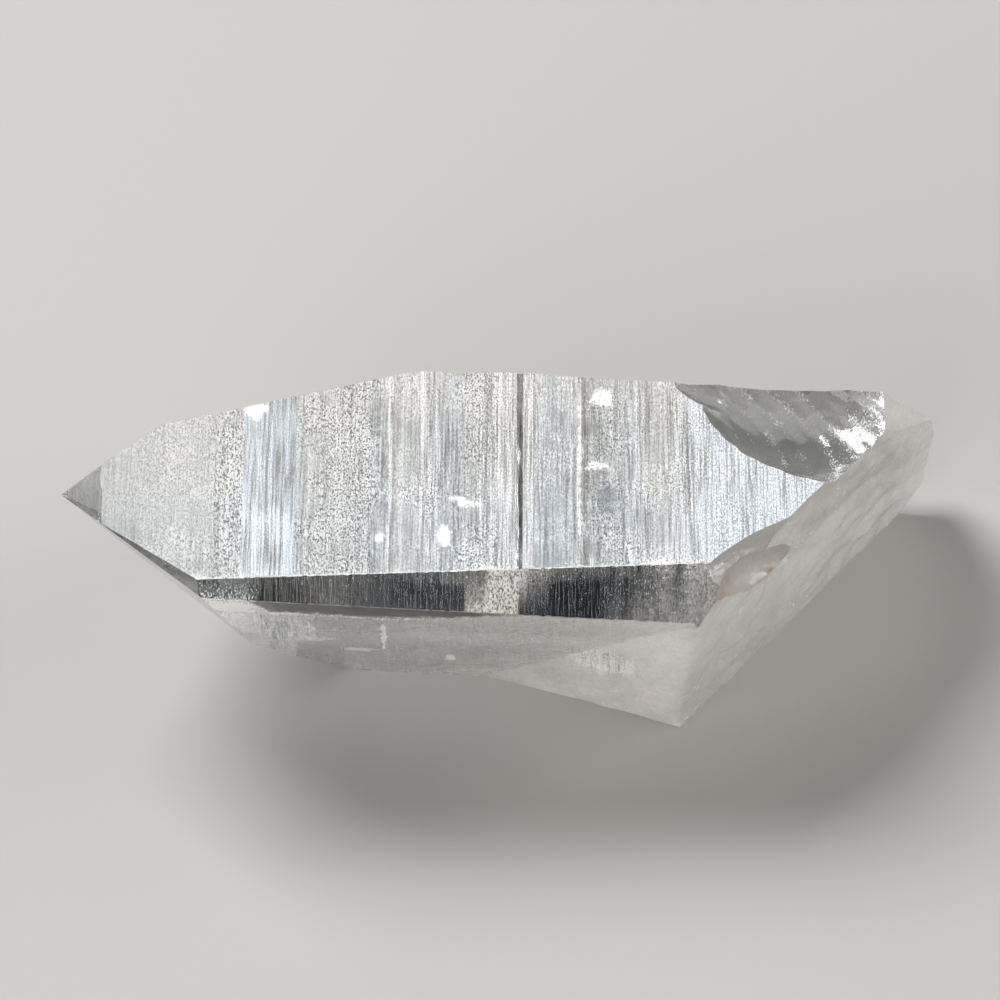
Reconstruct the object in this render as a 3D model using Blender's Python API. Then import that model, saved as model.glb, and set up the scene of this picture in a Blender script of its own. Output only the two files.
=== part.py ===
"""Lemurian seed quartz crystal: one natural quartz point, broken off its matrix.

X runs along the growth axis (c axis) with the point at -X. The crystal lies on its lower
prism face at Z = 0, and the origin is at the bottom centre of its bounding box.
The body is a block cut by one plane per crystal face, at the angles quartz grows at.
The growth-line ledges, the hollow, the notch and the break relief then move the surface
of each face in or out by a height that depends on the place.
"""

from math import cos, exp, radians, sin

import bmesh
import bpy
from mathutils import Matrix, Vector, noise

MM = 0.001

# Each crystal face, in degrees and millimetres: the azimuth of its normal round the
# c axis (0 is up, 60 apart for the six prism faces), its lean towards the base (+) or
# the point (-), and its distance from a point halfway up on the c axis.
HALF_THICKNESS = 13.6
FACES = {
    "upper": (0.0, 0.0, HALF_THICKNESS),
    "back_upper": (59.9, 2.7, 14.91),
    "back_lower": (120.0, 0.0, 21.0),
    "lower": (180.0, 0.0, HALF_THICKNESS),
    "front_lower": (240.1, -1.9, 12.86),
    "front_upper": (300.1, 2.4, 22.24),
    "back_taper": (59.6, -14.8, 17.69),
    "point_back": (58.8, -40.6, 30.47),
    "point_top": (359.6, -9.7, 20.55),
    "point_front": (294.9, -35.4, 37.67),
    "point_side": (230.8, -36.9, 25.63),
    "point_under": (180.0, -42.8, 22.09),
    "break": (249.6, 50.7, 24.29),
    "break_corner": (352.0, 61.7, 38.35),
    "break_end": (228.5, 80.9, 40.75),
}
# The foot flares out of the front lower face, towards the break.
FOOT = (255.6, -19.3, 10.74)

# Growth bands across the upper face: where each starts along X, and its height.
UPPER_BANDS = (
    (-60.0, 0.0), (-30.69, -0.05), (-27.87, 0.07), (-22.62, 0.0), (-18.59, 0.04), (-14.9, -0.08),
    (-13.34, 0.06), (-12.84, -0.03), (-11.83, 0.04), (-10.92, 0.0), (-10.01, 0.08),
    (-9.41, 0.02), (-8.8, 0.09), (-7.9, -0.07), (-5.58, 0.06), (-4.57, 0.01), (-3.76, 0.08),
    (-3.05, 0.03), (-2.15, 0.12), (-1.74, 0.0), (-1.24, 0.1), (-0.73, 0.04), (-0.28, -0.55),
    (0.35, 0.14), (1.48, -0.05), (4.11, 0.0), (5.22, 0.05), (5.82, 0.14), (6.38, -0.06),
    (7.23, 0.06), (8.14, -0.03), (9.15, 0.05), (10.36, 0.0), (11.67, 0.05), (13.18, -0.02),
    (15.0, 0.04), (17.22, 0.07), (19.64, 0.02), (22.46, 0.06),
)
# Coarser growth bands of the front lower face and the back lower face.
LOWER_BANDS = (
    (-60.0, 0.0), (-25.2, 0.04), (-21.1, 0.0), (-17.8, 0.09), (-14.6, 0.19), (-13.4, 0.25),
    (-10.0, 0.32), (-6.7, 0.36), (-3.4, 0.33), (0.1, 0.28), (2.9, 0.25), (5.1, 0.2), (7.7, 0.21),
    (10.5, 0.11), (13.3, 0.13), (17.1, 0.04),
)
BACK_BANDS = (
    (-60.0, 0.0), (-19.9, -0.12), (-14.2, 0.05), (-8.7, -0.15), (-4.3, 0.1), (2.4, -0.1),
    (6.0, 0.12), (11.9, -0.08), (16.6, 0.1), (22.2, -0.1), (28.0, 0.08), (33.8, -0.05),
)
RISER = 0.12

# Pieces broken out of the body, each an ellipsoid: centre, half-axes and turn round Z, with
# the height of its conchoidal ripples.
BREAKAGES = {
    "hollow": ((29.6, 2.2, 31.0), (14.05, 8.33, 7.0), -28.0, 0.0, 0.10),
    "hollow_rim": ((35.2, 5.6, 30.2), (5.2, 4.2, 4.0), 0.0, 0.0, 0.04),
    "hollow_tip": ((19.9, 6.6, 28.2), (5.2, 2.1, 2.2), -30.0, 0.0, 0.04),
    "worn_corner": ((24.6, -15.8, 27.3), (8.8, 3.0, 2.9), 38.0, 0.0, 0.05),
    "stained_notch": ((24.3, -13.9, 21.7), (8.0, 2.6, 3.3), 58.0, 29.0, 0.10),
}

BREAK_GRID = 1.2


def direction(azimuth, lean):
    a, b = radians(azimuth), radians(lean)
    return Vector((sin(b), cos(b) * sin(a), cos(b) * cos(a)))


def band_height(bands, x):
    height = 0.0
    for start, level in bands:
        if x >= start:
            height = level
    return height


def smooth(a, b, t):
    t = min(1.0, max(0.0, (t - a) / (b - a)))
    return t * t * (3 - 2 * t)


def upper_height(p):
    height = band_height(UPPER_BANDS, p.x)
    height *= 0.55 + 0.9 * abs(noise.noise(Vector((p.x * 0.9, p.y * 0.16, 3.0))))
    return height + 0.06 * noise.noise(Vector((p.x * 0.5, p.y * 0.3, 8.0)))


def front_lower_height(p):
    return band_height(LOWER_BANDS, p.x) * (1.0 - smooth(12.0, 25.0, p.z)) + 0.05 * noise.noise(
        Vector((p.x * 0.6, p.y * 0.6, 4.0))
    )


def back_lower_height(p):
    return band_height(BACK_BANDS, p.x) + 0.08 * noise.noise(Vector((p.x * 0.4, p.z * 0.3, 5.0)))


def back_upper_height(p):
    return 0.34 * exp(-(((p.x - 0.5) / 4.5) ** 2))


def from_rim(p, around):
    """The distance from the nearest of these faces, inside the body."""
    return min(planes[name][1] - planes[name][0].dot(p) for name in around)


def foot_height(p):
    away = planes["front_lower"][0].dot(p) - planes["front_lower"][1]
    height = 0.4 * noise.noise(Vector((p.x * 0.22, p.y * 0.22, p.z * 0.22 + 7.0)))
    height += 0.18 * noise.noise(Vector((p.x * 0.7, p.y * 0.7, p.z * 0.7)))
    calm = 0.4 + 0.6 * smooth(0.3, 2.5, from_rim(p, ("break", "lower", "front_upper")))
    return height * calm * smooth(0.2, 2.2, away) + front_lower_height(p) * (
        1.0 - smooth(0.0, 1.6, away)
    )


def break_height(p):
    height = 0.8 * noise.noise(Vector((p.x * 0.11, p.y * 0.11, p.z * 0.11 + 2.0)))
    height += 0.4 * noise.noise(Vector((p.x * 0.33, p.y * 0.33, p.z * 0.33)))
    height += 0.16 * noise.noise(Vector((p.x * 0.95, p.y * 0.95, p.z * 0.95)))
    around = ("upper", "lower", "front_upper", "foot", "back_upper", "back_lower")
    return height * (0.4 + 0.6 * smooth(0.3, 2.5, from_rim(p, around)))


HEIGHTS = {
    "upper": upper_height,
    "front_lower": front_lower_height,
    "back_lower": back_lower_height,
    "back_upper": back_upper_height,
    "foot": foot_height,
    "break": break_height,
    "break_corner": break_height,
    "break_end": break_height,
}

CENTRE = Vector((0.0, 0.0, HALF_THICKNESS))
planes = {}
for name, (azimuth, lean, distance) in {**FACES, "foot": FOOT}.items():
    normal = direction(azimuth, lean)
    planes[name] = (normal, normal.dot(CENTRE) + distance)
names = list(planes)


def meeting_point(a, b, c):
    """The corner shared by three faces."""
    rows = Matrix((planes[a][0], planes[b][0], planes[c][0]))
    return rows.inverted() @ Vector((planes[a][1], planes[b][1], planes[c][1]))


# The block, cut by one plane per crystal face.
bm = bmesh.new()
bmesh.ops.create_cube(bm, size=160.0)
for name in FACES:
    normal, offset = planes[name]
    cut = bmesh.ops.bisect_plane(
        bm,
        geom=bm.verts[:] + bm.edges[:] + bm.faces[:],
        dist=1e-5,
        plane_co=normal * offset,
        plane_no=normal,
        clear_outer=True,
    )
    rim = [e for e in cut["geom_cut"] if isinstance(e, bmesh.types.BMEdge)]
    bmesh.ops.edgenet_fill(bm, edges=rim)
bmesh.ops.recalc_face_normals(bm, faces=bm.faces[:])

# Each face remembers which crystal face it is part of.
layer = bm.faces.layers.int.new("crystal_face")
for face in bm.faces:
    centre = face.calc_center_median()
    face[layer] = min(
        (k for k in range(len(names)) if names[k] != "foot"),
        key=lambda k: abs(planes[names[k]][0].dot(centre) - planes[names[k]][1])
        - face.normal.dot(planes[names[k]][0]),
    )


def faces_of(*wanted):
    kept = {names.index(name) for name in wanted}
    return [face for face in bm.faces if face[layer] in kept]


def slice_faces(faces, point, normal, snap=0.03):
    edges = {edge for face in faces for edge in face.edges}
    verts = {vert for face in faces for vert in face.verts}
    bmesh.ops.bisect_plane(
        bm, geom=[*verts, *edges, *faces], dist=snap, plane_co=point, plane_no=normal
    )


# The foot: the front lower face is creased, and its corners at the break pulled forward.
front = faces_of("front_lower")
corners = [
    vert
    for vert in front[0].verts
    if any(names[face[layer]] == "break" for face in vert.link_faces)
]
normal, offset = planes["foot"]
slice_faces(front, normal * offset, normal)
for vert in corners:
    other = next(
        names[face[layer]]
        for face in vert.link_faces
        if names[face[layer]] in ("lower", "front_upper")
    )
    vert.co = meeting_point("foot", "break", other)
for face in faces_of("front_lower"):
    if all(abs(normal.dot(vert.co) - offset) < 0.05 for vert in face.verts):
        face[layer] = names.index("foot")

# Growth-line ledges: two slices close together at each step, on the striated faces.
X = Vector((1.0, 0.0, 0.0))
for bands, wanted in (
    (UPPER_BANDS, ("upper", "front_upper")),
    (LOWER_BANDS, ("front_lower", "front_upper")),
    (BACK_BANDS, ("back_lower",)),
):
    for start, _ in bands[1:]:
        for x in (start - RISER, start):
            near = [
                face
                for face in faces_of(*wanted)
                if min(v.co.x for v in face.verts) < x < max(v.co.x for v in face.verts)
            ]
            slice_faces(near, X * x, X)
    for x in range(-40, 24, 2):
        near = faces_of(*wanted)
        if not any(abs(x - start) < 0.6 for start, _ in bands):
            slice_faces(near, X * x, X)
for x in range(-12, 14, 3):
    slice_faces(faces_of("back_upper"), X * x, X)
# Lengthwise slices, so that a ledge can rise and fade on its way across.
for y in (-16.0, -12.0, -8.0, -4.0, 0.0, 4.0):
    slice_faces(faces_of("upper"), Vector((0, y, 0)), Vector((0, 1, 0)))
for z in (5.0, 10.0, 15.0, 20.0):
    slice_faces(faces_of("front_lower"), Vector((0, 0, z)), Vector((0, 0, 1)))
for z in (3.5,):
    slice_faces(faces_of("back_lower"), Vector((0, 0, z)), Vector((0, 0, 1)))

# A grid over the break, its corner and the foot: level slices and upright ones.
z = BREAK_GRID
while z < 27.0:
    slice_faces(faces_of("break", "break_corner", "break_end", "foot"), Vector((0, 0, z)), Vector((0, 0, 1)), 0.3)
    z += BREAK_GRID
along = Vector((-planes["break"][0].y, planes["break"][0].x, 0.0)).normalized()
step = -20.0
while step < 50.0:
    slice_faces(faces_of("break", "break_corner", "break_end"), along * step, along, 0.3)
    step += BREAK_GRID
across = Vector((-planes["foot"][0].y, planes["foot"][0].x, 0.0)).normalized()
step = -20.0
while step < 50.0:
    slice_faces(faces_of("foot"), across * step, across, 0.3)
    step += BREAK_GRID

# Slivers along the rims of the two broken surfaces are closed up.
for family in (("break", "break_corner", "break_end"), ("foot",)):
    patch = faces_of(*family)
    verts = {vert for face in patch for vert in face.verts}
    inner = [v for v in verts if len({face[layer] for face in v.link_faces}) == 1]
    rim = [v for v in verts if len({face[layer] for face in v.link_faces}) > 1]
    found = bmesh.ops.find_doubles(bm, verts=inner + rim, keep_verts=rim, dist=0.4)
    bmesh.ops.weld_verts(bm, targetmap=found["targetmap"])

# Where two faces meet at a shallow angle, a shared point follows the first one only.
SHALLOW = (
    ("front_lower", "foot"),
    ("break", "break_corner"),
    ("break", "break_end"),
    ("break_end", "break_corner"),
)


# Every point moves so that it lies at the wanted height over each face it belongs to.
def raised(place, own):
    """The nearest point to this one that lies at the right height over all of its faces."""
    normals = [planes[name][0] for name in own]
    for _ in range(4):
        short = [
            planes[name][1] + (HEIGHTS[name](place) if name in HEIGHTS else 0.0) - normal.dot(place)
            for name, normal in zip(own, normals)
        ]
        if len(own) == 1:
            place = place + normals[0] * short[0]
        elif len(own) == 2:
            c = normals[0].dot(normals[1])
            first = (short[0] - c * short[1]) / (1.0 - c * c)
            place = place + normals[0] * first + normals[1] * (short[1] - c * first)
        elif len(own) == 3:
            place = place + Matrix(normals).inverted() @ Vector(short)
    return place


for vert in bm.verts:
    own = sorted({names[face[layer]] for face in vert.link_faces})
    for kept, other in SHALLOW:
        if kept in own and other in own:
            own.remove(other)
    if len(own) < 4:
        vert.co = raised(vert.co.copy(), own)

bmesh.ops.triangulate(bm, faces=bm.faces[:], quad_method="BEAUTY", ngon_method="BEAUTY")
bmesh.ops.recalc_face_normals(bm, faces=bm.faces[:])

# The origin goes to the bottom centre of the bounding box, and millimetres to metres.
low = Vector([min(vert.co[i] for vert in bm.verts) for i in range(3)])
high = Vector([max(vert.co[i] for vert in bm.verts) for i in range(3)])
shift = Vector((-(low.x + high.x) / 2, -(low.y + high.y) / 2, -low.z))
to_part = Matrix.Scale(MM, 4) @ Matrix.Translation(shift)
bm.transform(to_part)

for old in list(bpy.data.objects):
    bpy.data.objects.remove(old, do_unlink=True)
mesh = bpy.data.meshes.new("quartz_crystal")
bm.to_mesh(mesh)
bm.free()
crystal = bpy.data.objects.new("quartz_crystal", mesh)
bpy.context.scene.collection.objects.link(crystal)

# The broken-out pieces are cut away last.
for name, (centre, half, turn, tip, ripple) in BREAKAGES.items():
    cutter = bmesh.new()
    bmesh.ops.create_icosphere(cutter, subdivisions=4, radius=1.0)
    for vert in cutter.verts:
        wave = sin(16.0 * (vert.co - Vector((-0.6, -0.5, -0.6))).length)
        vert.co *= 1.0 + ripple * 0.12 * wave + 0.03 * noise.noise(vert.co * 2.3)
    shape = Matrix.Translation(centre) @ Matrix.Rotation(radians(turn), 4, "Z")
    shape = shape @ Matrix.Rotation(radians(tip), 4, "Y") @ Matrix.Diagonal((*half, 1.0))
    cutter.transform(to_part @ shape)
    cutter_mesh = bpy.data.meshes.new(name)
    cutter.to_mesh(cutter_mesh)
    cutter.free()
    tool = bpy.data.objects.new(name, cutter_mesh)
    tool.hide_render = True
    tool.hide_viewport = True
    bpy.context.scene.collection.objects.link(tool)
    boolean = crystal.modifiers.new(name, "BOOLEAN")
    boolean.operation = "DIFFERENCE"
    boolean.solver = "EXACT"
    boolean.object = tool
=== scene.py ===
"""Looks of the lemurian seed quartz crystal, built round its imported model.

X runs along the growth axis, with the point at -X, and +Z is up. The crystal is shaped in
millimetres round its own axis, and is moved into the frame, in metres, when it is finished.
"""

from math import cos, exp, radians, sin

import bmesh
import bpy
from mathutils import Matrix, Vector, noise


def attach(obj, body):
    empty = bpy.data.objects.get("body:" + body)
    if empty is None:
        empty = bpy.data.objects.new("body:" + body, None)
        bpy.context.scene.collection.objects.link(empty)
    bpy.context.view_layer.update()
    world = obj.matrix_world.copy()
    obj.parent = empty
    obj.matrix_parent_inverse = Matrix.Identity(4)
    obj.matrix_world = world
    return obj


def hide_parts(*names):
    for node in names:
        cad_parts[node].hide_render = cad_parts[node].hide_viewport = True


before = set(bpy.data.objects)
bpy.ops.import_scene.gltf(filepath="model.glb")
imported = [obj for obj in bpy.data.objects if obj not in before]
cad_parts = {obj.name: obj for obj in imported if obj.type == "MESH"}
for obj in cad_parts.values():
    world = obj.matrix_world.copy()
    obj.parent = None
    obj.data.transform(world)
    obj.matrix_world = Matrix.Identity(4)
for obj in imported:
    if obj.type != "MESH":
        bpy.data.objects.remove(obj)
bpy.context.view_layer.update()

# The crystal: one natural point of rock quartz, six prism faces under a slanted tip, broken
# off its matrix at the other end. It grew layer on layer, and each layer that stopped short
# left a ledge across the upper face: the growth lines that this habit is known for.
MM = 0.001
HALF_THICKNESS = 13.6
BLOCK = 160.0  # the side of the block that the faces are cut from
REACH = 40.0  # past either end of the crystal, from its middle
# Azimuth round the growth axis, lean towards the base (+) or the point (-), in degrees, and
# distance in millimetres from a point halfway up on the axis.
FACES = {
    "upper": (0.0, 0.0, HALF_THICKNESS),
    "back_upper": (59.9, 2.7, 14.91),
    "back_lower": (120.0, 0.0, 21.0),
    "lower": (180.0, 0.0, HALF_THICKNESS),
    "front_lower": (240.1, -1.9, 12.86),
    "front_upper": (300.1, 2.4, 22.24),
    "back_taper": (59.6, -14.8, 17.69),
    "point_back": (58.8, -40.6, 30.47),
    "point_top": (359.6, -9.7, 20.55),
    "point_front": (294.9, -35.4, 37.67),
    "point_side": (230.8, -36.9, 25.63),
    "point_under": (180.0, -42.8, 22.09),
    "break": (249.6, 50.7, 24.29),
    "break_corner": (352.0, 61.7, 38.35),
    "break_end": (228.5, 80.9, 40.75),
}
FOOT = (255.6, -19.3, 10.74)

# Growth bands of the upper face: start along X, height and kind of surface.
UPPER_BANDS = (
    (-60.0, 0.0, "fine"), (-30.69, -0.05, "pitted"), (-27.87, 0.07, "window"),
    (-22.62, 0.0, "pitted"), (-18.59, 0.04, "pitted"), (-14.9, -0.08, "smooth"),
    (-13.34, 0.06, "bright"), (-12.84, -0.03, "fine"), (-11.83, 0.04, "fine"),
    (-10.92, 0.0, "smooth"), (-10.01, 0.08, "bright"), (-9.41, 0.02, "lined"),
    (-8.8, 0.09, "lined"), (-7.9, -0.07, "smooth"), (-5.58, 0.06, "pitted"),
    (-4.57, 0.01, "lined"), (-3.76, 0.08, "pitted"), (-3.05, 0.03, "lined"),
    (-2.15, 0.12, "bright"), (-1.74, 0.0, "lined"), (-1.24, 0.1, "bright"),
    (-0.73, 0.04, "bright"), (-0.28, -0.55, "groove"), (0.35, 0.14, "bright"),
    (1.48, -0.05, "smooth"), (4.11, 0.0, "smooth"), (5.22, 0.05, "lined"),
    (5.82, 0.14, "bright"), (6.38, -0.06, "groove"), (7.23, 0.06, "pitted"),
    (8.14, -0.03, "smooth"), (9.15, 0.05, "pitted"), (10.36, 0.0, "smooth"),
    (11.67, 0.05, "lined"), (13.18, -0.02, "fine"), (15.0, 0.04, "lined"),
    (17.22, 0.07, "sheen"), (19.64, 0.02, "sheen"), (22.46, 0.06, "sheen"),
)
LOWER_BANDS = (
    (-60.0, 0.0), (-25.2, 0.04), (-21.1, 0.0), (-17.8, 0.09), (-14.6, 0.19), (-13.4, 0.25),
    (-10.0, 0.32), (-6.7, 0.36), (-3.4, 0.33), (0.1, 0.28), (2.9, 0.25), (5.1, 0.2), (7.7, 0.21),
    (10.5, 0.11), (13.3, 0.13), (17.1, 0.04),
)
BACK_BANDS = (
    (-60.0, 0.0), (-19.9, -0.12), (-14.2, 0.05), (-8.7, -0.15), (-4.3, 0.1), (2.4, -0.1),
    (6.0, 0.12), (11.9, -0.08), (16.6, 0.1), (22.2, -0.1), (28.0, 0.08), (33.8, -0.05),
)
RISER = 0.10  # width of a ledge's step

# What each kind of growth surface is like: growth-line relief in millimetres, then
# frosting, white scatter, share of pits, of growth lines and of painted blue sheen.
KINDS = {
    "fine": (0.006, 0.50, 0.54, 0.30, 0.24, 0.10),
    "pitted": (0.012, 0.45, 0.60, 1.00, 0.45, 0.15),
    "window": (0.012, 0.30, 0.55, 0.10, 0.95, 0.90),
    "smooth": (0.004, 0.22, 0.52, 0.25, 0.50, 0.60),
    "lined": (0.022, 0.40, 0.62, 0.45, 1.00, 0.30),
    "bright": (0.030, 0.45, 0.74, 0.30, 1.00, 0.15),
    "groove": (0.004, 0.20, 0.12, 0.30, 0.50, 0.10),
    "sheen": (0.012, 0.32, 0.84, 0.35, 0.90, 0.75),
}


def direction(azimuth, lean):
    a, b = radians(azimuth), radians(lean)
    return Vector((sin(b), cos(b) * sin(a), cos(b) * cos(a)))


def smooth(a, b, t):
    t = min(1.0, max(0.0, (t - a) / (b - a)))
    return t * t * (3 - 2 * t)


def band_at(bands, x):
    found = bands[0]
    for band in bands:
        if x >= band[0]:
            found = band
    return found


def upper_height(p):
    band = band_at(UPPER_BANDS, p.x)
    height = band[1] * (0.55 + 0.9 * abs(noise.noise(Vector((p.x * 0.9, p.y * 0.16, 3.0)))))
    height += 0.06 * noise.noise(Vector((p.x * 0.5, p.y * 0.3, 8.0)))
    lines = noise.noise(Vector((p.x * 3.1, p.y * 0.12, 1.0)))
    lines += 0.6 * noise.noise(Vector((p.x * 6.3, p.y * 0.3, 6.0)))
    return height + 2.0 * KINDS[band[2]][0] * lines * smooth(-42.0, -39.0, p.x)


def front_lower_height(p):
    height = band_at(LOWER_BANDS, p.x)[1] * (1.0 - smooth(12.0, 25.0, p.z))
    height += 0.05 * noise.noise(Vector((p.x * 0.6, p.y * 0.6, 4.0)))
    return height + 0.02 * noise.noise(Vector((p.x * 2.6, p.z * 0.3, 2.0)))


def back_lower_height(p):
    height = band_at(BACK_BANDS, p.x)[1]
    height += 0.08 * noise.noise(Vector((p.x * 0.4, p.z * 0.3, 5.0)))
    return height + 0.03 * noise.noise(Vector((p.x * 2.6, p.z * 0.2, 2.0)))


def back_upper_height(p):
    return 0.34 * exp(-(((p.x - 0.5) / 4.5) ** 2))


def from_rim(p, around):
    """The distance from the nearest of these faces, inside the body."""
    return min(planes[name][1] - planes[name][0].dot(p) for name in around)


def foot_height(p):
    away = planes["front_lower"][0].dot(p) - planes["front_lower"][1]
    height = 0.4 * noise.noise(Vector((p.x * 0.22, p.y * 0.22, p.z * 0.22 + 7.0)))
    height += 0.18 * noise.noise(p * 0.7) + 0.05 * noise.noise(p * 2.1)
    calm = 0.4 + 0.6 * smooth(0.3, 2.5, from_rim(p, ("break", "lower", "front_upper")))
    joined = 1.0 - smooth(0.0, 1.6, away)
    return height * calm * smooth(0.2, 2.2, away) + front_lower_height(p) * joined


def break_height(p):
    height = 0.8 * noise.noise(Vector((p.x * 0.11, p.y * 0.11, p.z * 0.11 + 2.0)))
    height += 0.4 * noise.noise(p * 0.33) + 0.16 * noise.noise(p * 0.95)
    height += 0.06 * noise.noise(p * 2.3)
    around = ("upper", "lower", "front_upper", "foot", "back_upper", "back_lower")
    return height * (0.4 + 0.6 * smooth(0.3, 2.5, from_rim(p, around)))


HEIGHTS = {
    "upper": upper_height,
    "front_lower": front_lower_height,
    "back_lower": back_lower_height,
    "back_upper": back_upper_height,
    "foot": foot_height,
    "break": break_height,
    "break_corner": break_height,
    "break_end": break_height,
}

CENTRE = Vector((0.0, 0.0, HALF_THICKNESS))
planes = {}
for name, (azimuth, lean, distance) in {**FACES, "foot": FOOT}.items():
    normal = direction(azimuth, lean)
    planes[name] = (normal, normal.dot(CENTRE) + distance)
names = list(planes)

# The block is cut by one plane per crystal face.
bm = bmesh.new()
bmesh.ops.create_cube(bm, size=BLOCK)
for name in FACES:
    normal, offset = planes[name]
    cut = bmesh.ops.bisect_plane(
        bm, geom=bm.verts[:] + bm.edges[:] + bm.faces[:], dist=1e-5,
        plane_co=normal * offset, plane_no=normal, clear_outer=True,
    )
    rim = [e for e in cut["geom_cut"] if isinstance(e, bmesh.types.BMEdge)]
    bmesh.ops.edgenet_fill(bm, edges=rim)
bmesh.ops.recalc_face_normals(bm, faces=bm.faces[:])

# Each face remembers which crystal face it is part of.
layer = bm.faces.layers.int.new("crystal_face")
for face in bm.faces:
    centre = face.calc_center_median()
    face[layer] = min(
        (k for k in range(len(names)) if names[k] != "foot"),
        key=lambda k: abs(planes[names[k]][0].dot(centre) - planes[names[k]][1])
        - face.normal.dot(planes[names[k]][0]),
    )


def faces_of(*wanted):
    kept = {names.index(name) for name in wanted}
    return [face for face in bm.faces if face[layer] in kept]


def once(parts):
    """Each of these only once, in the order given. A set's order would differ between runs."""
    return list(dict.fromkeys(parts))


def slices(wanted, along, places, snap=0.03):
    """Slices these crystal faces across a direction, at each of these places in turn."""
    faces = faces_of(*wanted)
    for place in sorted(places):
        faces = [f for f in faces if max(v.co.dot(along) for v in f.verts) > place]
        edges = once(edge for face in faces for edge in face.edges)
        verts = once(vert for face in faces for vert in face.verts)
        made = bmesh.ops.bisect_plane(
            bm, geom=[*verts, *edges, *faces], dist=snap,
            plane_co=along * (place / along.length_squared), plane_no=along,
        )
        faces = [g for g in made["geom"] if isinstance(g, bmesh.types.BMFace)]


def meeting_point(a, b, c):
    """The corner shared by three faces."""
    rows = Matrix((planes[a][0], planes[b][0], planes[c][0]))
    return rows.inverted() @ Vector((planes[a][1], planes[b][1], planes[c][1]))


# The foot: the front lower face is creased, and its corners at the break pulled forward.
corners = [
    vert
    for vert in faces_of("front_lower")[0].verts
    if any(names[face[layer]] == "break" for face in vert.link_faces)
]
normal, offset = planes["foot"]
slices(("front_lower",), normal, (offset,))
for vert in corners:
    other = next(
        names[face[layer]]
        for face in vert.link_faces
        if names[face[layer]] in ("lower", "front_upper")
    )
    vert.co = meeting_point("foot", "break", other)
for face in faces_of("front_lower"):
    if all(abs(normal.dot(vert.co) - offset) < 0.05 for vert in face.verts):
        face[layer] = names.index("foot")


def ledges(bands, spacing, until):
    """Two slices close together at each ledge, and even ones between them."""
    places = []
    for k in range(1, len(bands)):
        start = bands[k][0]
        end = (bands[k + 1][0] if k + 1 < len(bands) else until) - RISER
        places += [start - RISER, start]
        count = max(1, round((end - start) / spacing))
        places += [start + (end - start) * step / count for step in range(1, count)]
    first = bands[1][0] - RISER
    return places + [first - spacing * step for step in range(1, int((first + 45.0) / spacing))]


def steps(start, end, spacing):
    return [start + spacing * k for k in range(int((end - start) / spacing) + 1)]


X, Z = Vector((1, 0, 0)), Vector((0, 0, 1))
places = ledges(UPPER_BANDS, 0.3, REACH)
for start, _ in LOWER_BANDS[1:]:
    places += [x for x in (start - RISER, start) if min(abs(x - y) for y in places) > 0.07]
slices(("upper", "front_upper", "front_lower"), X, places)
slices(("back_lower",), X, ledges(BACK_BANDS, 0.5, REACH))
slices(("back_upper", "back_taper"), X, steps(-REACH, REACH, 1.0))


def rows(name, beside, corner, spacing):
    """Lengthwise slices of a crystal face, along its edge with the front upper face."""
    edge_along = planes[name][0].cross(planes[beside][0]).normalized()
    away = planes[name][0].cross(edge_along)
    away = away if away.dot(planes[beside][0]) < 0.0 else -away
    first = meeting_point(name, beside, corner).dot(away) + 0.5
    slices((name,), away, steps(first, first + 33.0, spacing))


rows("upper", "front_upper", "point_top", 0.6)
rows("front_lower", "front_upper", "point_side", 0.8)
rows("back_lower", "back_upper", "break_end", 1.5)
rows("back_upper", "back_lower", "break_end", 1.5)

# A grid over the break, its corner and the foot: level slices and upright ones.
BREAK_GRID = 0.6
BROKEN = ("break", "break_corner", "break_end")
slices((*BROKEN, "foot"), Z, steps(BREAK_GRID, 27.0, BREAK_GRID), 0.15)
for wanted, name in ((BROKEN, "break"), (("foot",), "foot")):
    along = Vector((-planes[name][0].y, planes[name][0].x, 0.0)).normalized()
    slices(wanted, along, steps(-20.0, 50.0, BREAK_GRID), 0.15)
for family in (BROKEN, ("foot",)):
    verts = once(vert for face in faces_of(*family) for vert in face.verts)
    inner = [v for v in verts if len({face[layer] for face in v.link_faces}) == 1]
    rim = [v for v in verts if len({face[layer] for face in v.link_faces}) > 1]
    found = bmesh.ops.find_doubles(bm, verts=inner + rim, keep_verts=rim, dist=0.2)
    bmesh.ops.weld_verts(bm, targetmap=found["targetmap"])

# The two edges of the front upper face are chipped all along, in teeth a few tenths of a
# millimetre deep: each is bevelled, and the bevel's sides wander.
CHIP = 0.16
names.append("chipped")
for pair in (("upper", "front_upper"), ("front_upper", "front_lower")):
    shared = {names.index(name) for name in pair}
    edge_line = [e for e in bm.edges if {face[layer] for face in e.link_faces} == shared]
    made = bmesh.ops.bevel(
        bm, geom=edge_line, offset=CHIP, offset_type="OFFSET", segments=1, profile=0.5,
        affect="EDGES", clamp_overlap=True, material=-1,
    )
    for face in made["faces"]:
        face[layer] = names.index("chipped")
    across = {name: planes[name][0].cross(X).normalized() for name in pair}
    middle = sum((planes[name][0] for name in pair), Vector()).normalized()
    for vert in once(v for face in made["faces"] for v in face.verts):
        own = {names[face[layer]] for face in vert.link_faces} & set(pair)
        if len(own) == 1 and len({face[layer] for face in vert.link_faces}) == 2:
            side = across[own.pop()]
            away = side if side.dot(middle) < 0.0 else -side
            tooth = noise.noise(Vector((vert.co.x * 1.9, 4.0, 0.0)))
            tooth += 0.7 * noise.noise(Vector((vert.co.x * 4.7, 9.0, 0.0)))
            vert.co += away * (0.11 * max(-0.6, tooth))

# Where two faces meet at a shallow angle, a shared point follows the first one only.
SHALLOW = (
    ("front_lower", "foot"),
    ("break", "break_corner"),
    ("break", "break_end"),
    ("break_end", "break_corner"),
)
RIM_REACH = 2.5  # how far from the broken rim the upper face follows it


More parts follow.
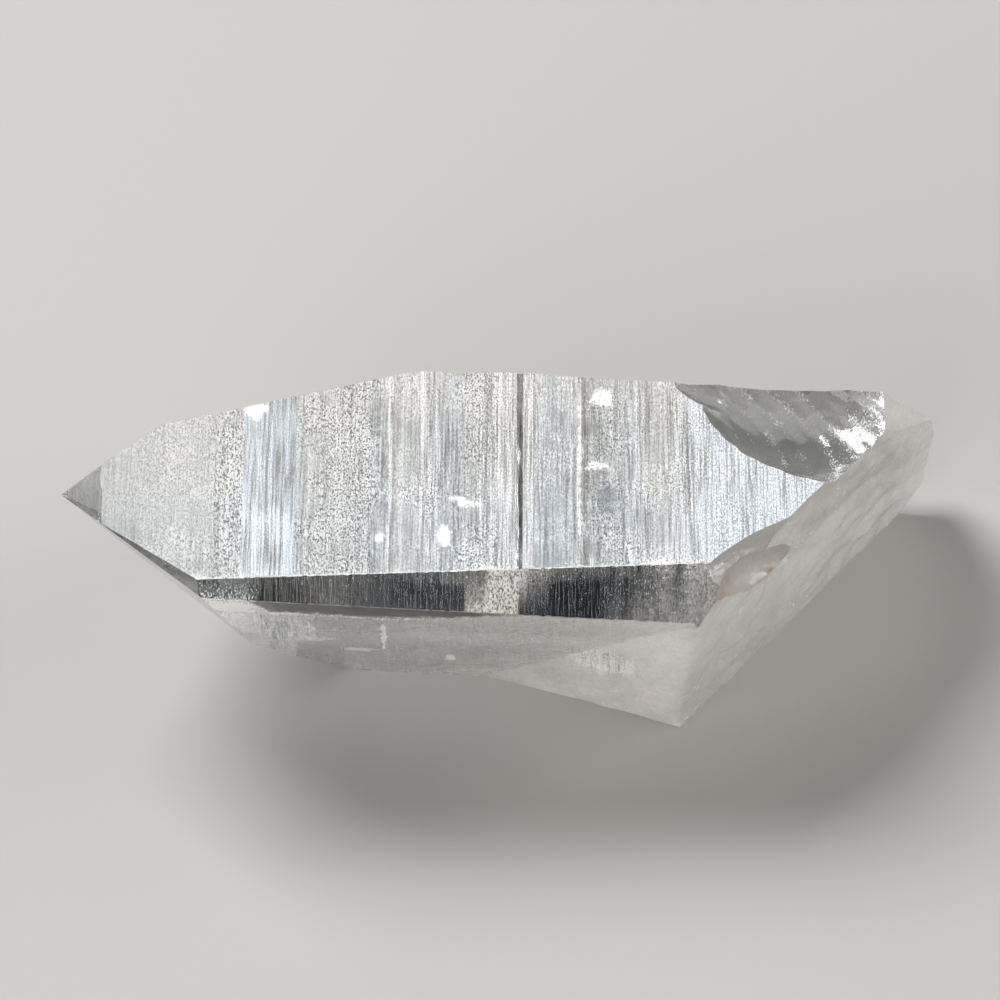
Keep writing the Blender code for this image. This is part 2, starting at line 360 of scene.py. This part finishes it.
def drawn_along(place):
    """A point of the upper face near the broken rim goes part of the way that the rim goes."""
    away = (planes["break"][1] - planes["break"][0].dot(place)) / RIM_REACH
    if away < 1.0:
        level = Vector((*planes["break"][0].xy, 0.0)) / planes["break"][0].xy.length_squared
        place = place + level * break_height(place) * (1.0 - smooth(0.0, 1.0, away))
    return place


def raised(place, own):
    """The nearest point to this one that lies at the right height over all of its faces."""
    normals = [planes[name][0] for name in own]
    for _ in range(3):
        short = [
            planes[name][1] + (HEIGHTS[name](place) if name in HEIGHTS else 0.0) - normal.dot(place)
            for name, normal in zip(own, normals)
        ]
        if len(own) == 1:
            place = place + normals[0] * short[0]
        elif len(own) == 2:
            c = normals[0].dot(normals[1])
            first = (short[0] - c * short[1]) / (1.0 - c * c)
            place = place + normals[0] * first + normals[1] * (short[1] - c * first)
        elif len(own) == 3:
            place = place + Matrix(normals).inverted() @ Vector(short)
    return place


LOWEST = 0.02  # no point but the lower face's own lies lower than this
for vert in bm.verts:
    own = sorted({names[face[layer]] for face in vert.link_faces} - {"chipped"})
    for kept, other in SHALLOW:
        if kept in own and other in own:
            own.remove(other)
    if own == ["upper"]:
        vert.co = drawn_along(vert.co)
    if len(own) < 4:
        vert.co = raised(vert.co.copy(), own)
    if "lower" not in own:
        vert.co.z = max(vert.co.z, LOWEST)

# The edge between the foot and the break is worn round, as far as this from the edge.
WORN_REACH = 3.0
WORN_PASSES = 14
near = []
for vert in bm.verts:
    own = {names[face[layer]] for face in vert.link_faces}
    depths = [abs(planes[name][1] - planes[name][0].dot(vert.co)) for name in ("foot", "break")]
    if own <= {"foot", "break"} and max(depths) < WORN_REACH:
        near.append(vert)
for _ in range(WORN_PASSES):
    bmesh.ops.smooth_vert(
        bm, verts=near, factor=0.5, use_axis_x=True, use_axis_y=True, use_axis_z=True
    )
bmesh.ops.triangulate(bm, faces=bm.faces[:], quad_method="BEAUTY", ngon_method="BEAUTY")
bmesh.ops.recalc_face_normals(bm, faces=bm.faces[:])

# The same move as the CAD part: the bottom centre of its box is the origin.
SHIFT = Vector((1.5860, -0.3429, 0.0))
mesh = bpy.data.meshes.new("crystal")
bm.to_mesh(mesh)
bm.free()
crystal = bpy.data.objects.new("crystal", mesh)
bpy.context.scene.collection.objects.link(crystal)

# Pieces broken out of the body, each an ellipsoid: centre, half-axes, turn round Z, tip
# round Y, and the height of its shell-like ripples. They are cut with the FAST solver, because
# EXACT left no faces for the hollow, and a change to the lumps can make FAST fail too.
BREAKAGES = {
    "hollow": ((29.6, 2.2, 31.0), (14.05, 8.33, 7.0), -28.0, 0.0, 0.10),
    "hollow_rim": ((35.2, 5.6, 30.2), (5.2, 4.2, 4.0), 0.0, 0.0, 0.04),
    "hollow_tip": ((19.9, 6.6, 28.2), (5.2, 2.1, 2.2), -30.0, 0.0, 0.04),
    "worn_corner": ((24.6, -15.8, 27.3), (8.8, 3.0, 2.9), 38.0, 0.0, 0.05),
    "stained_notch": ((24.3, -13.9, 21.7), (8.0, 2.6, 3.3), 58.0, 29.0, 0.10),
}
FOCUS = Vector((-0.6, -0.5, -0.6))  # where a blow fell; the ripples spread from there
RIPPLES = 34.0  # how close the ripples lie, in radians over one radius of the ball
RIPPLE_HEIGHT = 0.07
# The broken surface is uneven in coarse and fine lumps: their height and how close they lie.
LUMPS = ((0.03, 2.3), (0.006, 9.0))


def crest(place):
    """How high the ripples stand at this place of a unit ball, from -1 to 1."""
    return sin(RIPPLES * (place - FOCUS).length)


tools = []
into_ball = {}
for name, (centre, half, turn, tip, ripple) in BREAKAGES.items():
    cutter = bmesh.new()
    bmesh.ops.create_icosphere(cutter, subdivisions=6, radius=1.0)
    own = cutter.faces.layers.int.new("crystal_face")
    names.append(name)
    for face in cutter.faces:
        face[own] = names.index(name)
    for vert in cutter.verts:
        wave = crest(vert.co)
        rough = sum(height * noise.noise(vert.co * close) for height, close in LUMPS)
        vert.co *= 1.0 + ripple * RIPPLE_HEIGHT * wave + rough
    shape = Matrix.Translation(centre) @ Matrix.Rotation(radians(turn), 4, "Z")
    shape = shape @ Matrix.Rotation(radians(tip), 4, "Y") @ Matrix.Diagonal((*half, 1.0))
    cutter.transform(shape)
    into_ball[name] = shape.inverted()
    cutter_mesh = bpy.data.meshes.new(name)
    cutter.to_mesh(cutter_mesh)
    cutter.free()
    tool = bpy.data.objects.new(name, cutter_mesh)
    bpy.context.scene.collection.objects.link(tool)
    tools.append(tool)
    boolean = crystal.modifiers.new(name, "BOOLEAN")
    boolean.operation = "DIFFERENCE"
    boolean.solver = "FAST"
    boolean.object = tool
evaluated = crystal.evaluated_get(bpy.context.evaluated_depsgraph_get())
final = bpy.data.meshes.new_from_object(evaluated)
crystal.modifiers.clear()
crystal.data = final
for tool in tools:
    bpy.data.objects.remove(tool, do_unlink=True)

# Edges stay crisp where two crystal faces meet, or at a break's ridges, past these turns.
CRISP_MEETING = 12.0
CRISP_RIDGE = 35.0
bm = bmesh.new()
bm.from_mesh(final)
layer = bm.faces.layers.int["crystal_face"]
for face in bm.faces:
    face.smooth = True
WORN_ROUND = [{names.index(name), names.index("foot")} for name in ("front_lower", "break")]
for edge in bm.edges:
    if len(edge.link_faces) == 2:
        pair = {face[layer] for face in edge.link_faces}
        turn = edge.link_faces[0].normal.angle(edge.link_faces[1].normal, 0.0)
        meeting = len(pair) == 2 and pair not in WORN_ROUND
        edge.smooth = turn < radians(CRISP_MEETING if meeting else CRISP_RIDGE)

# How each place of the surface looks: ten shares from 0 to 1, which the mesh carries to the
# material. Frost is roughness, and milk is white scatter in place of clearness. Then come dark
# pits, growth lines, painted blue sheen, iron stain, the uneven grain of a fracture, painted
# shade, white wisps of fine cracks and painted glints, and scratches.
WORDS = ("frost", "milk", "pits", "lined", "painted_blue_sheen", "stain", "grain", "painted_shade", "cracks_and_glints", "scratch")
loops = {word: bm.loops.layers.float.new(word) for word in WORDS}
# The painted shade is strongest on the front upper face, the point's front and side, the clear edge, the
# hollows, the worn corner and the notch.
FINISH = {
    "front_upper": (0.09, 0.02, 0.50, 0.30, 0.0, 0.0, 0.0, 0.66, 0.20, 0.0),
    "front_lower": (0.16, 0.36, 0.1, 0.14, 0.25, 0.0, 0.5, 0.05, 0.22, 0.12),
    "back_lower": (0.20, 0.15, 0.3, 0.50, 0.3, 0.0, 0.0, 0.0, 0.1, 0.0),
    "back_upper": (0.0, 0.0, 0.0, 0.0, 0.2, 0.0, 0.0, 0.0, 0.0, 0.0),
    "lower": (0.0, 0.0, 0.0, 0.0, 0.2, 0.0, 0.0, 0.0, 0.0, 0.0),
    "back_taper": (0.0, 0.0, 0.0, 0.0, 0.2, 0.0, 0.0, 0.0, 0.0, 0.0),
    "point_back": (0.0, 0.0, 0.0, 0.0, 0.2, 0.0, 0.0, 0.0, 0.0, 0.0),
    "point_top": (0.06, 0.12, 0.0, 0.15, 0.1, 0.0, 0.1, 0.0, 0.1, 0.2),
    "point_front": (0.05, 0.02, 0.0, 0.0, 0.2, 0.0, 0.0, 0.7, 0.0, 0.0),
    "point_side": (0.05, 0.03, 0.0, 0.0, 0.1, 0.0, 0.0, 1.0, 0.0, 0.0),
    "point_under": (0.0, 0.0, 0.0, 0.0, 0.2, 0.0, 0.0, 0.0, 0.0, 0.0),
    "foot": (0.24, 0.70, 0.0, 0.0, 0.0, 0.02, 0.55, 0.0, 0.22, 0.12),
    "break": (0.24, 0.64, 0.0, 0.0, 0.0, 0.02, 0.55, 0.0, 0.22, 0.0),
    "break_corner": (0.24, 0.64, 0.0, 0.0, 0.0, 0.02, 0.55, 0.0, 0.24, 0.0),
    "break_end": (0.24, 0.64, 0.0, 0.0, 0.0, 0.02, 0.55, 0.0, 0.22, 0.0),
    "chipped": (0.35, 0.60, 0.0, 0.0, 0.2, 0.0, 1.0, 0.0, 0.85, 0.0),
    "hollow": (0.06, 0.20, 0.0, 0.0, 0.0, 0.02, 0.3, 0.42, 0.26, 0.0),
    "hollow_tip": (0.08, 0.22, 0.0, 0.0, 0.0, 0.02, 0.3, 0.42, 0.26, 0.0),
    "hollow_rim": (0.10, 0.30, 0.0, 0.0, 0.0, 0.02, 0.4, 0.30, 0.30, 0.0),
    "worn_corner": (0.34, 0.97, 0.0, 0.0, 0.0, 0.02, 0.45, 0.54, 0.18, 0.0),
    "stained_notch": (0.40, 0.97, 0.0, 0.0, 0.0, 0.1, 0.3, 0.36, 0.10, 0.0),
    "clear_edge_painted_dark": (0.12, 0.60, 0.3, 0.3, 0.0, 0.0, 0.0, 1.0, 0.14, 0.0),
}
looks = {name: dict(zip(WORDS, shares)) for name, shares in FINISH.items()}

# Places that stand out, such as a chip, a veil, a painted glint or a patch of painted blue
# sheen: X, and Y or Z, of the middle, half length and half width in millimetres, and what each
# adds to these shares.
MARKED = ("frost", "milk", "pits", "lined", "painted_blue_sheen", "cracks_and_glints")
UPPER_MARKS = (
    (-26.8, 4.6, 1.3, 1.8, (0.1, 0.1, -0.5, -0.6, -0.2, 0.75)),
    (-25.2, -11.8, 2.6, 3.6, (0.0, 0.25, -0.1, 0.2, 0.1, 0.15)),
    (-14.0, -13.4, 0.6, 0.8, (0.2, 0.1, -0.5, -0.5, -0.2, 0.75)),
    (-7.5, -13.2, 0.9, 1.8, (0.2, 0.1, -0.2, -0.6, -0.2, 0.65)),
    (-4.8, -8.9, 1.6, 1.0, (0.2, 0.1, -0.2, -0.4, -0.1, 0.6)),
    (-6.2, -8.2, 1.2, 0.5, (0.2, 0.1, -0.2, -0.4, -0.1, 0.6)),
    (8.3, 6.2, 1.5, 1.6, (0.2, 0.1, -0.2, -0.5, -0.2, 0.58)),
    (7.9, -3.5, 1.6, 0.8, (0.2, 0.1, -0.2, -0.5, -0.2, 0.5)),
    # A patch of painted blue sheen.
    (8.9, -8.6, 1.0, 2.8, (-0.1, -0.25, -0.3, -0.5, 0.6, 0.0)),
    (6.1, -4.0, 0.3, 12.0, (0.1, 0.1, 0.0, -0.3, 0.0, 0.5)),
)
LOWER_MARKS = (
    # A bluish zone of growth lines, its blue a painted sheen.
    (-24.2, 17.0, 3.0, 7.0, (0.0, 0.2, 0.0, 0.9, 1.0, 0.15)),
    (-29.0, 22.5, 3.4, 2.2, (0.1, 0.20, 0.0, 0.2, 0.3, 0.65)),
    (-13.7, 14.0, 0.4, 6.0, (0.1, 0.1, 0.0, 0.0, 0.0, 0.60)),
    (-20.6, 11.6, 2.6, 1.0, (0.1, 0.0, 0.0, 0.0, 0.0, 0.50)),
    (-16.6, 8.2, 2.4, 0.8, (0.1, 0.0, 0.0, 0.0, 0.0, 0.50)),
    (-7.0, 7.0, 0.6, 1.5, (0.1, 0.0, 0.0, 0.0, 0.0, 0.70)),
    # A painted glint patch with growth lines, across the crease of the foot.
    (8.2, 9.5, 4.2, 3.4, (0.0, 0.1, 0.0, 1.0, 0.1, 0.5)),
)
# The point's mark is a painted glint.
POINT_MARKS = ((-44.4, -9.0, 0.7, 0.8, (0.0, 0.0, 0.0, 0.0, 0.0, 0.7)),)
MARKS = {"upper": UPPER_MARKS, "front_lower": LOWER_MARKS, "foot": LOWER_MARKS}
MARKS.update({name: POINT_MARKS for name in ("point_top", "point_front", "point_side")})


def past(name, p):
    """How far this point lies inside a crystal face's plane."""
    return planes[name][1] - planes[name][0].dot(p)


def between(here, there, share):
    """The look that lies this share of the way from one look to another."""
    return {word: here[word] + share * (there[word] - here[word]) for word in WORDS}


def look_of_band(x):
    """A band of the upper face keeps some of the look of the ones beside it."""
    kind = band_at(UPPER_BANDS, x)[2]
    away = 0.0 if kind in ("groove", "bright", "window") else 0.9
    near = [KINDS[band_at(UPPER_BANDS, x + d)[2]] for d in (0.0, 0.0, -away, away)]
    look = dict.fromkeys(WORDS, 0.0)
    for k, word in enumerate(("frost", "milk", "pits", "lined", "painted_blue_sheen"), start=1):
        look[word] = sum(values[k] for values in near) / len(near)
    look["grain"] = 0.12
    look["scratch"] = 0.5 if kind in ("window", "sheen") else 0.08
    return look


def upper_look(here, p, x):
    """Patchy frosting, and more wisps along the front edge; x is the middle of the facet."""
    patchy = noise.noise(Vector((p.x * 0.16, p.y * 0.22, 5.0)))
    patchy += 0.6 * noise.noise(Vector((p.x * 0.5, p.y * 0.7, 2.0)))
    here["frost"] += 0.12 * patchy
    here["milk"] += 0.16 * patchy + 0.15 * smooth(10.0, 24.0, p.x - 0.25 * p.y)
    here["pits"] = here["pits"] * (1.0 + 1.2 * patchy) + 0.15
    # Painted blue sheen, more towards the front edge and less towards the back.
    here["painted_blue_sheen"] += 0.25 * smooth(-4.0, -12.0, p.y) - 0.25 * smooth(0.0, 8.0, p.y)
    here["cracks_and_glints"] += 0.25 + 0.35 * patchy
    here["cracks_and_glints"] += 0.35 * (1.0 - smooth(0.0, 1.3, past("front_upper", p)))
    here["scratch"] += 0.5 * (1.0 - smooth(-34.0, -31.0, p.x)) * smooth(0.0, -4.0, p.y)
    kind = band_at(UPPER_BANDS, x)[2]
    if kind == "window":
        here["scratch"] += 0.45 * smooth(2.0, -2.0, p.y) * (1.0 - smooth(-9.0, -11.0, p.y))
        here["milk"] += 0.18 * smooth(-10.3, -11.3, p.y)
    if kind == "groove":
        # The groove is painted darker with painted shade, most along its middle stretch.
        deep = smooth(-1.0, -6.0, p.y) * (1.0 - smooth(-12.0, -15.0, p.y))
        here["painted_shade"] = 0.35 + 0.55 * deep + 0.3 * noise.noise(Vector((0.0, p.y * 0.6, 1.0)))
        if p.x > 3.0:
            here["milk"] += 0.35
            here["painted_shade"] = 0.15
    # A column of beads, like a rope.
    if 5.8 < x < 6.4:
        here["cracks_and_glints"] += 0.35 * sin(4.2 * p.y)
    return here


def front_upper_look(here, p):
    """The front upper face, painted dark with painted shade towards both ends: a cream block in its
    middle, a veil on its left, and stipple on its right.
    """
    down = 27.2 - p.z
    x = p.x + 0.4 * noise.noise(p * 1.4)
    patch = smooth(-3.7, -2.9, x + 0.56 * down) * (1.0 - smooth(0.6, 1.1, x + 0.18 * down))
    beside = smooth(0.7, 1.0, x) * (1.0 - smooth(2.7, 3.3, x + 0.6 * down))
    patch = max(patch, 0.45 * beside)
    right = smooth(12.5, 18.0, p.x + 1.1 * down + 3.0 * noise.noise(p * 0.8))
    teeth = (1.0 - smooth(0.0, 0.8, past("front_lower", p))) * (1.0 - smooth(-27.5, -25.0, p.x))
    veil = smooth(-20.0, -16.0, p.x) * (1.0 - smooth(-14.0, -11.0, p.x))
    here["frost"] += 0.3 * patch + 0.2 * right + 0.1 * veil
    here["milk"] += 0.78 * patch + 0.34 * right + 0.05 * veil
    here["pits"] += 0.7 * patch
    here["stain"] += 0.03 * patch
    here["grain"] += 0.9 * patch + 1.0 * right + 0.25 * veil
    # Painted shade: darker at the left end and past x = 1 mm, and lifted in the cream block and the
    # stipple.
    here["painted_shade"] += 0.4 * (1.0 - smooth(-24.0, -18.0, p.x)) + 0.34 * smooth(1.0, 4.0, p.x)
    here["painted_shade"] *= 1.0 - max(patch, 0.8 * right)
    here["cracks_and_glints"] += 0.16 * patch + 0.07 * smooth(2.0, 5.0, p.x) + 0.08 * right + 0.45 * teeth
    here["cracks_and_glints"] += 0.15 * (1.0 - smooth(0.0, 0.7, planes["upper"][1] - p.z))
    return here


def front_lower_look(here, p):
    """Milkier towards the foot, and along the edge as clear as the face above it and painted as dark,
    with painted shade.
    """
    near = 0.6 - 0.6 * smooth(0.0, 4.0, -past("foot", p))
    here = between(here, looks["foot"], near)
    high = past("front_upper", p)
    here["milk"] += 0.2 * (1.0 - smooth(0.0, 6.0, high))
    edge = 3.4 * smooth(-27.5, -24.5, p.x) * (1.0 - smooth(-16.0, 4.0, p.x))
    edge += 0.5 * noise.noise(Vector((p.x * 1.7, 2.0, 0.0)))
    # Along the edge the face takes a clear look painted dark with painted shade.
    dark = (1.0 - smooth(edge - 0.3, edge + 0.3, high)) * smooth(0.3, 1.0, edge)
    here["cracks_and_glints"] += 0.45 * (1.0 - smooth(0.0, 1.8, high - edge)) * (1.0 - smooth(-12.0, 0.0, p.x))
    return between(here, looks["clear_edge_painted_dark"], dark)


def foot_look(here, p):
    return between(here, looks["front_lower"], 0.4 - 0.4 * smooth(0.0, 2.5, -past("front_lower", p)))


def hollow_look(here, p, ball):
    """Painted highlights: white along the crests of the ripples of the ball it was cut by, and painted
    glints at the broken end.
    """
    ridge = crest(ball @ p) * (0.6 + 0.8 * noise.noise(p * 0.5))
    here["cracks_and_glints"] += 0.30 * max(0.0, ridge)
    here["cracks_and_glints"] += 0.22 * smooth(29.5, 34.0, p.x - 0.4 * p.y)
    here["cracks_and_glints"] += 0.25 * noise.noise(p * 0.35 + Vector((0.0, 0.0, 4.0)))
    return here


def back_look(here, p):
    """Faint growth bands and veils."""
    band = max(0.0, noise.noise(Vector((7.3 * band_at(BACK_BANDS, p.x)[0], 1.0, 0.0))))
    cloudy = noise.noise(p * 0.12 + Vector((0.0, 0.0, 9.0)))
    here["frost"] += 0.10 * band
    here["milk"] += 0.05 * band + 0.08 * max(0.0, cloudy)
    here["lined"] += 0.20 * band
    here["cracks_and_glints"] += 0.25 * smooth(0.25, 0.6, cloudy)
    return here


def chipped_look(here, p):
    """The lower of the two chipped edges is dimmer than the upper one, with painted shade along most of
    it.
    """
    if p.z < 26.0:
        here["cracks_and_glints"] *= 1.0 - 0.75 * smooth(-28.0, -25.0, p.x)
        here["milk"] *= 0.8
        here["painted_shade"] = 0.7 * smooth(-28.0, -25.0, p.x) * (1.0 - smooth(6.0, 14.0, p.x))
    return here


def notch_look(here, p):
    """Iron stain, strongest towards the point and at the bottom."""
    here["stain"] = 0.12 + 0.7 * (1.0 - smooth(18.5, 22.5, p.x))
    here["stain"] += 0.5 * (1.0 - smooth(17.0, 19.5, p.z))
    return here


VARIED = {
    "front_upper": front_upper_look,
    "front_lower": front_lower_look,
    "foot": foot_look,
    "back_upper": back_look,
    "back_lower": back_look,
    "chipped": chipped_look,
    "stained_notch": notch_look,
}
for face in bm.faces:
    name = names[face[layer]]
    centre = face.calc_center_median()
    look = look_of_band(centre.x) if name == "upper" else looks[name]
    marks = MARKS.get(name, ())
    for loop in face.loops:
        p = loop.vert.co
        here = dict(look)
        for x, across, length, width, adds in marks:
            reach = ((p.x - x) / length) ** 2
            reach += (((p.z if marks is LOWER_MARKS else p.y) - across) / width) ** 2
            share = 1.0 - smooth(0.3, 1.1, reach + 0.5 * noise.noise(p * 1.3))
            for word, add in zip(MARKED, adds):
                here[word] += share * add
        if name == "upper":
            here = upper_look(here, p, centre.x)
        elif name.startswith("hollow"):
            here = hollow_look(here, p, into_ball[name])
        elif name in VARIED:
            here = VARIED[name](here, p)
        for word in WORDS:
            loop[loops[word]] = max(0.0, min(1.0, here[word]))
bm.to_mesh(final)
bm.free()
final.transform(Matrix.Scale(MM, 4) @ Matrix.Translation(SHIFT))
final.name = "crystal"


def linear(code):
    """An sRGB hex colour as linear values."""
    parts = [int(code[k : k + 2], 16) / 255 for k in (1, 3, 5)]
    return [c / 12.92 if c <= 0.04045 else ((c + 0.055) / 1.055) ** 2.4 for c in parts] + [1.0]


def node(tree, kind, links=(), **settings):
    """Adds a node: its settings by name, and its inputs as values or as other outputs."""
    made = tree.nodes.new(kind)
    for key, value in settings.items():
        setattr(made, key, value)
    for socket, value in dict(links).items():
        if isinstance(value, bpy.types.NodeSocket):
            tree.links.new(value, made.inputs[socket])
        else:
            made.inputs[socket].default_value = value
    return made


# Rock quartz: natural growth faces, glass-clear where smooth, frosted by fine ledges and
# pits, and milky on the fractures. Light passes through all of it, a little dimmed.
quartz = bpy.data.materials.new("rock quartz, natural growth faces and fractures")
quartz.use_nodes = True
tree = quartz.node_tree
shader = tree.nodes["Principled BSDF"]
place = node(tree, "ShaderNodeTexCoord").outputs["Object"]
signal = {}
for word in WORDS:
    signal[word] = node(tree, "ShaderNodeAttribute", attribute_name=word).outputs["Fac"]

# Each noise: its size in millimetres along X, Y and Z, and its turn round Z in degrees. Then
# the patterns read from it, each 0 where the noise has the first value and 1 at the second.
# Growth lines lie 0.1 to 0.4 mm apart and run right across. Real pits, fine cracks and
# scratches are mostly narrower than 0.1 mm, one pixel of the render, so they are drawn 0.12
# to 0.3 mm wide to show.
NOISES = (
    ((0.22, 9.0, 4.0), 0.0, {"lines": (0.38, 0.62)}),
    ((0.8, 22.0, 8.0), 0.0, {"streaks": (0.38, 0.62)}),
    ((0.15, 0.30, 0.27), 0.0, {"specks": (0.50, 0.60), "flecks": (0.47, 0.38), "shreds": (0.75, 0.25)}),
    ((0.8, 0.8, 0.8), 0.0, {"grains": (0.3, 0.7)}),
    ((3.5, 3.5, 3.5), 0.0, {"clouds": (0.35, 0.65)}),
    ((3.2, 0.12, 3.0), 24.0, {"scratches": (0.60, 0.70)}),
)
for size, turn, patterns in NOISES:
    spread = node(
        tree, "ShaderNodeMapping",
        {0: place, "Rotation": (0.0, 0.0, radians(-turn)), "Scale": [mm * MM for mm in size]},
        vector_type="TEXTURE",
    )
    cloud = node(
        tree, "ShaderNodeTexNoise",
        {0: spread.outputs[0], "Scale": 1.0, "Detail": 2.0, "Roughness": 0.6},
    )
    for word, (low, high) in patterns.items():
        ranged = {"Value": cloud.outputs["Fac"], 1: low, 2: high, 3: 0.0, 4: 1.0}
        signal[word] = node(tree, "ShaderNodeMapRange", ranged).outputs[0]

# What the patterns and the shares of the place make together. Each row: its name, what it
# starts from, what is added to that, and how strongly, by a number or by another signal.
# White wisps, of real cracks and of painted glints, fill a place as far as its share goes. The
# relief is that of the lines and the grains alone, since the rest is too flat to show.
SUMS = (
    ("scratched", 0.0, {"scratches": "scratch"}),
    ("ruled", -0.6, {"streaks": 0.35, "lines": 0.85}),
    ("ruled", 0.0, {"ruled": "lined"}),
    ("pitted", 0.0, {"specks": "pits"}),
    ("stipple", 0.0, {"flecks": "pits"}),
    ("grainy", -0.6, {"clouds": 0.6, "grains": 0.6}),
    ("grainy", 0.0, {"grainy": "grain"}),
    ("white_cracks_and_glints", -5.0, {"cracks_and_glints": 5.6, "shreds": 4.0}),
    ("rough", "frost", {"white_cracks_and_glints": 0.25, "grainy": 0.12, "ruled": -0.25}),
    ("scatter", "milk", {"white_cracks_and_glints": 0.4, "grainy": 0.25, "stipple": 0.16, "scratched": -0.3, "ruled": 0.6}),
    ("clear", 1.0, {"scatter": -1.0}),
    ("cloudy", 0.0, {"grain": 1.5}),
    # The low lines of the growth relief are painted darker: painted shade in the furrows.
    ("painted_furrow_shade", 0.0, {"ruled": -1.3}),
    ("scored", 0.0, {"scratched": 0.7}),
    ("flecked", 0.0, {"flecks": 0.7}),
    ("rust", 0.3, {"grains": 1.1}),
    ("rust", 0.0, {"rust": "stain"}),
    ("ridges", -0.39, {"lines": 0.78}),
    ("ridges", 0.0, {"ridges": "lined"}),
    ("lumps", -0.48, {"grains": 0.96}),
    ("relief", "ridges", {"lumps": "grain"}),
)
KEPT_WITHIN = ("white_cracks_and_glints", "rough", "clear")  # from 0 to 1, once all is added
for word, start, parts in SUMS:
    total = signal.get(start, start)
    for count, (part, strength) in enumerate(parts.items(), start=1):
        total = node(
            tree, "ShaderNodeMath",
            {0: signal[part], 1: signal.get(strength, strength), 2: total},
            operation="MULTIPLY_ADD",
            use_clamp=word in KEPT_WITHIN and count == len(parts),
        ).outputs[0]
    signal[word] = total
tree.links.new(signal["rough"], shader.inputs["Roughness"])
tree.links.new(signal["clear"], shader.inputs["Transmission Weight"])

# The colour of clear quartz, and what tints it one over the other. Some tints are painted light:
# the blue sheen, the shade in the growth-line furrows, the painted shade, and the white of the
# painted glints among the wisps.
TINTS = (
    ("painted_blue_sheen", "#d8e6f1"), ("cloudy", "#f3f2ee"), ("pitted", "#6c6a65"), ("painted_furrow_shade", "#868581"),
    ("scored", "#8f8e8a"), ("flecked", "#ffffff"), ("rust", "#b58a4c"), ("painted_shade", "#4a4b4a"),
    ("white_cracks_and_glints", "#f1f2f1"),
)
tint = linear("#e6e4df")
for word, colour in TINTS:
    colours = {"Factor": signal[word], 6: tint, 7: linear(colour)}
    tint = node(tree, "ShaderNodeMix", colours, data_type="RGBA").outputs[2]
tree.links.new(tint, shader.inputs["Base Color"])

bump = node(
    tree, "ShaderNodeBump", {"Height": signal["relief"], "Strength": 1.0, "Distance": 0.07 * MM}
)
tree.links.new(bump.outputs[0], shader.inputs["Normal"])
shader.inputs["IOR"].default_value = 1.544
absorb = node(tree, "ShaderNodeVolumeAbsorption", {"Color": linear("#e9eef2"), "Density": 8.0})
tree.links.new(absorb.outputs[0], tree.nodes["Material Output"].inputs["Volume"])
final.materials.clear()
final.materials.append(quartz)

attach(crystal, "root")
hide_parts("quartz_crystal")

# The floor: a plain pale sweep of matt paper, wide enough to fill the view. Air stays between
# it and the crystal, which rests on its highest points, so that the lower face still mirrors.
GAP = 0.0001
bm = bmesh.new()
bmesh.ops.create_grid(bm, x_segments=1, y_segments=1, size=6.0)
bmesh.ops.translate(bm, verts=bm.verts[:], vec=(0.0, 0.0, -GAP))
floor_mesh = bpy.data.meshes.new("floor")
bm.to_mesh(floor_mesh)
bm.free()
floor = bpy.data.objects.new("floor", floor_mesh)
bpy.context.scene.collection.objects.link(floor)
paper = bpy.data.materials.new("matt pale paper")
paper.use_nodes = True
paper.node_tree.nodes["Principled BSDF"].inputs["Base Color"].default_value = linear("#b9b8b5")
paper.node_tree.nodes["Principled BSDF"].inputs["Roughness"].default_value = 0.8
floor_mesh.materials.append(paper)

# Soft studio light: one softbox behind and above, which the upper face mirrors to the camera,
# a wide fill at the right for the broken end, and another at the front left for the low faces.
def softbox(name, azimuth, elevation, distance, width, height, watts, colour):
    a, e = radians(azimuth), radians(elevation)
    lamp = bpy.data.lights.new(name, "AREA")
    lamp.shape = "RECTANGLE"
    lamp.size, lamp.size_y = width, height
    lamp.energy = watts
    lamp.color = linear(colour)[:3]
    box = bpy.data.objects.new(name, lamp)
    back = Vector((sin(a) * cos(e), -cos(a) * cos(e), sin(e)))
    box.location = Vector((0.0, 0.0, 0.013)) + back * distance
    box.rotation_euler = back.to_track_quat("Z", "Y").to_euler()
    bpy.context.scene.collection.objects.link(box)


softbox("softbox", 230.0, 50.0, 1.4, 0.7, 0.7, 23.5, "#fdfdff")
softbox("fill", 95.0, 22.0, 1.6, 1.4, 1.0, 13.0, "#fffaf4")
softbox("front_fill", -32.0, 20.0, 1.6, 1.4, 1.0, 17.0, "#fffaf4")

world = bpy.data.worlds.new("studio")
bpy.context.scene.world = world
world.use_nodes = True
world.node_tree.nodes["Background"].inputs["Color"].default_value = linear("#c9d8ee")
world.node_tree.nodes["Background"].inputs["Strength"].default_value = 0.08

# The camera: a long lens from the front, looking down at 46 degrees, as in the photograph.
camera = bpy.data.objects.new("camera", bpy.data.cameras.new("camera"))
camera.data.lens = 300.0
camera.data.sensor_width = 36.0
camera.data.clip_end = 20.0
camera.location = Vector((2.708, -591.184, 630.433)) * MM
camera.rotation_euler = (radians(44.0), 0.0, radians(0.3))
bpy.context.scene.collection.objects.link(camera)
bpy.context.scene.camera = camera
bpy.context.scene.view_settings.view_transform = "Standard"
